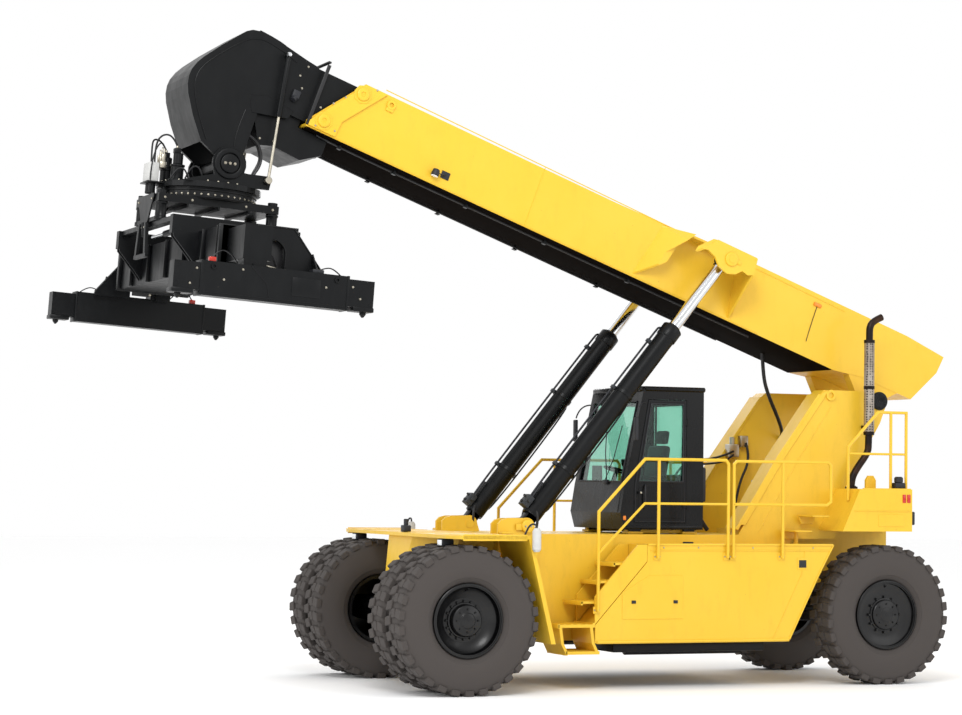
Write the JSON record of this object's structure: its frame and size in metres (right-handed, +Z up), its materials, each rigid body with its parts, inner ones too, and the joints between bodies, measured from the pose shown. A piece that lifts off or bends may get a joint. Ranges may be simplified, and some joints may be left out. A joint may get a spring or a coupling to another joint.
{
  "type": "reach stacker",
  "caption": "Container handler with a telescopic boom, lift cylinders, slewing side-shift spreader, cab with a door, twin drive wheels and a steered rear axle.",
  "frame": {"origin": "on the ground, below the centre of the overall bounding box", "axes": "+X forward towards the spreader, +Y to the driver's left, +Z up"},
  "size_m": [11.8452, 6.058, 8.2717],
  "materials": {
    "painted_yellow": "gloss paint",
    "painted_black": "satin black paint",
    "tyre_rubber": "matt rubber",
    "rim_black": "gloss black paint",
    "chromed_rod": "polished",
    "tinted_glass": "tinted",
    "guard_steel": "perforated and bent sheet",
    "seat_fabric": "woven",
    "cast_iron": "painted casting"
  },
  "bodies": {
    "chassis": {"chassis_frame": "painted_yellow", "engine_block": "cast_iron", "front_deck": "painted_yellow", "side_tank_left": "painted_yellow", "side_tank_right": "painted_yellow", "steps_left": "painted_yellow", "steps_right": "painted_yellow", "handrail_front_left": "painted_yellow", "handrail_front_right": "painted_yellow", "handrail_rear_left": "painted_yellow", "handrail_rear_right": "painted_yellow", "tail_rail_left": "painted_yellow", "tail_rail_right": "painted_yellow", "counterweight": "painted_yellow", "exhaust_stack": "guard_steel", "drive_axle": "painted_black", "steer_axle": "painted_black", "cab_shell": "painted_black", "windscreen": "tinted_glass", "rear_window": "tinted_glass", "side_window_right": "tinted_glass", "driver_seat": "seat_fabric", "steering_column": "painted_black"},
    "cab_door": {"cab_door": "painted_black", "door_glass": "tinted_glass"},
    "drive_wheels_left": {"drive_tyre_outer_left": "tyre_rubber", "drive_tyre_inner_left": "tyre_rubber", "drive_rim_left": "rim_black"},
    "drive_wheels_right": {"drive_tyre_outer_right": "tyre_rubber", "drive_tyre_inner_right": "tyre_rubber", "drive_rim_right": "rim_black"},
    "knuckle_left": {"steer_knuckle_left": "painted_black"},
    "knuckle_right": {"steer_knuckle_right": "painted_black"},
    "steer_wheel_left": {"steer_tyre_left": "tyre_rubber", "steer_rim_left": "rim_black"},
    "steer_wheel_right": {"steer_tyre_right": "tyre_rubber", "steer_rim_right": "rim_black"},
    "boom": {"boom_outer": "painted_yellow", "boom_pads": "painted_black"},
    "telescope": {"boom_inner": "painted_black", "damper_barrel_left": "painted_black", "damper_barrel_right": "painted_black"},
    "lift_barrel_left": {"lift_barrel_left": "painted_black"},
    "lift_barrel_right": {"lift_barrel_right": "painted_black"},
    "lift_rod_left": {"lift_rod_left": "chromed_rod"},
    "lift_rod_right": {"lift_rod_right": "chromed_rod"},
    "damper_rod_left": {"damper_rod_left": "chromed_rod"},
    "damper_rod_right": {"damper_rod_right": "chromed_rod"},
    "head_block": {"rotator_yoke": "painted_black"},
    "slew": {"slew_frame": "painted_black"},
    "spreader": {"spreader_frame": "painted_black"},
    "extension_left": {"spreader_arm_left": "painted_black"},
    "extension_right": {"spreader_arm_right": "painted_black"}
  },
  "joints": [
    {"name": "drive_spin_left", "type": "hinge", "parent": "chassis", "child": "drive_wheels_left", "pos_m": [1.815, 1.4, 0.925], "axis": [0, 1, 0], "continuous": true},
    {"name": "drive_spin_right", "type": "hinge", "parent": "chassis", "child": "drive_wheels_right", "pos_m": [1.815, -1.4, 0.925], "axis": [0, 1, 0], "continuous": true},
    {"name": "steer_left", "type": "hinge", "parent": "chassis", "child": "knuckle_left", "pos_m": [-4.435, 0.94, 0.925], "axis": [0, 0, 1], "range_deg": [-42, 42]},
    {"name": "steer_right", "type": "hinge", "parent": "chassis", "child": "knuckle_right", "pos_m": [-4.435, -0.94, 0.925], "axis": [0, 0, 1], "range_deg": [-42, 42]},
    {"name": "steer_spin_left", "type": "hinge", "parent": "knuckle_left", "child": "steer_wheel_left", "pos_m": [-4.435, 1.345, 0.925], "axis": [0, 1, 0], "continuous": true},
    {"name": "steer_spin_right", "type": "hinge", "parent": "knuckle_right", "child": "steer_wheel_right", "pos_m": [-4.435, -1.345, 0.925], "axis": [0, 1, 0], "continuous": true},
    {"name": "cab_door_hinge", "type": "hinge", "parent": "chassis", "child": "cab_door", "pos_m": [-1.817, 0.7905, 2.9], "axis": [0, 0, 1], "range_deg": [0, 85]},
    {"name": "boom_lift", "type": "hinge", "parent": "chassis", "child": "boom", "pos_m": [-4.665, 0, 3.8], "axis": [0, -1, 0], "range_deg": [-20.5, 39.5]},
    {"name": "telescope_slide", "type": "slide", "parent": "boom", "child": "telescope", "axis": [-0.9367, 0, -0.3502], "range_m": [-6.5, 0]},
    {"name": "head_level", "type": "hinge", "parent": "telescope", "child": "head_block", "pos_m": [4.50612, 0, 6.55741], "axis": [0, -1, 0], "range_deg": [-39.6, 20.6]},
    {"name": "slew_turn", "type": "hinge", "parent": "head_block", "child": "slew", "pos_m": [4.61218, 0, 6.16352], "axis": [-0.0656, 0, 0.9978], "range_deg": [-105, 195]},
    {"name": "side_shift", "type": "slide", "parent": "slew", "child": "spreader", "axis": [0, 1, 0], "range_m": [-0.8, 0.8]},
    {"name": "extend_left", "type": "slide", "parent": "spreader", "child": "extension_left", "axis": [0, 1, 0], "range_m": [0, 3.07]},
    {"name": "extend_right", "type": "slide", "parent": "spreader", "child": "extension_right", "axis": [0, -1, 0], "range_m": [0, 3.07]},
    {"name": "lift_base_left", "type": "hinge", "parent": "chassis", "child": "lift_barrel_left", "pos_m": [0.625, 0.95, 2.07], "axis": [0, -1, 0], "range_deg": [-1.2, 2.2]},
    {"name": "lift_stroke_left", "type": "slide", "parent": "lift_barrel_left", "child": "lift_rod_left", "axis": [-0.6314, 0, 0.7754], "range_m": [-1.07, 2.06]},
    {"name": "damper_stroke_left", "type": "slide", "parent": "telescope", "child": "damper_rod_left", "axis": [0.153, 0, -0.9882], "range_m": [-0.4, 0.24]},
    {"name": "lift_base_right", "type": "hinge", "parent": "chassis", "child": "lift_barrel_right", "pos_m": [0.625, -0.95, 2.07], "axis": [0, -1, 0], "range_deg": [-1.2, 2.2]},
    {"name": "lift_stroke_right", "type": "slide", "parent": "lift_barrel_right", "child": "lift_rod_right", "axis": [-0.6314, 0, 0.7754], "range_m": [-1.07, 2.06]},
    {"name": "damper_stroke_right", "type": "slide", "parent": "telescope", "child": "damper_rod_right", "axis": [0.153, 0, -0.9882], "range_m": [-0.4, 0.24]}
  ],
  "couplings": [
    {"joint": "steer_right", "follows": "steer_left", "ratio": 1},
    {"joint": "extend_right", "follows": "extend_left", "ratio": 1},
    {"joint": "head_level", "follows": "boom_lift", "ratio": -1},
    {"joint": "lift_base_left", "follows": "boom_lift", "ratio": 0.05},
    {"joint": "lift_stroke_left", "follows": "boom_lift", "m_per_rad": 2.8724},
    {"joint": "damper_stroke_left", "follows": "boom_lift", "m_per_rad": -0.5012},
    {"joint": "lift_base_right", "follows": "boom_lift", "ratio": 0.05},
    {"joint": "lift_stroke_right", "follows": "boom_lift", "m_per_rad": 2.8724},
    {"joint": "damper_stroke_right", "follows": "boom_lift", "m_per_rad": -0.5012}
  ]
}
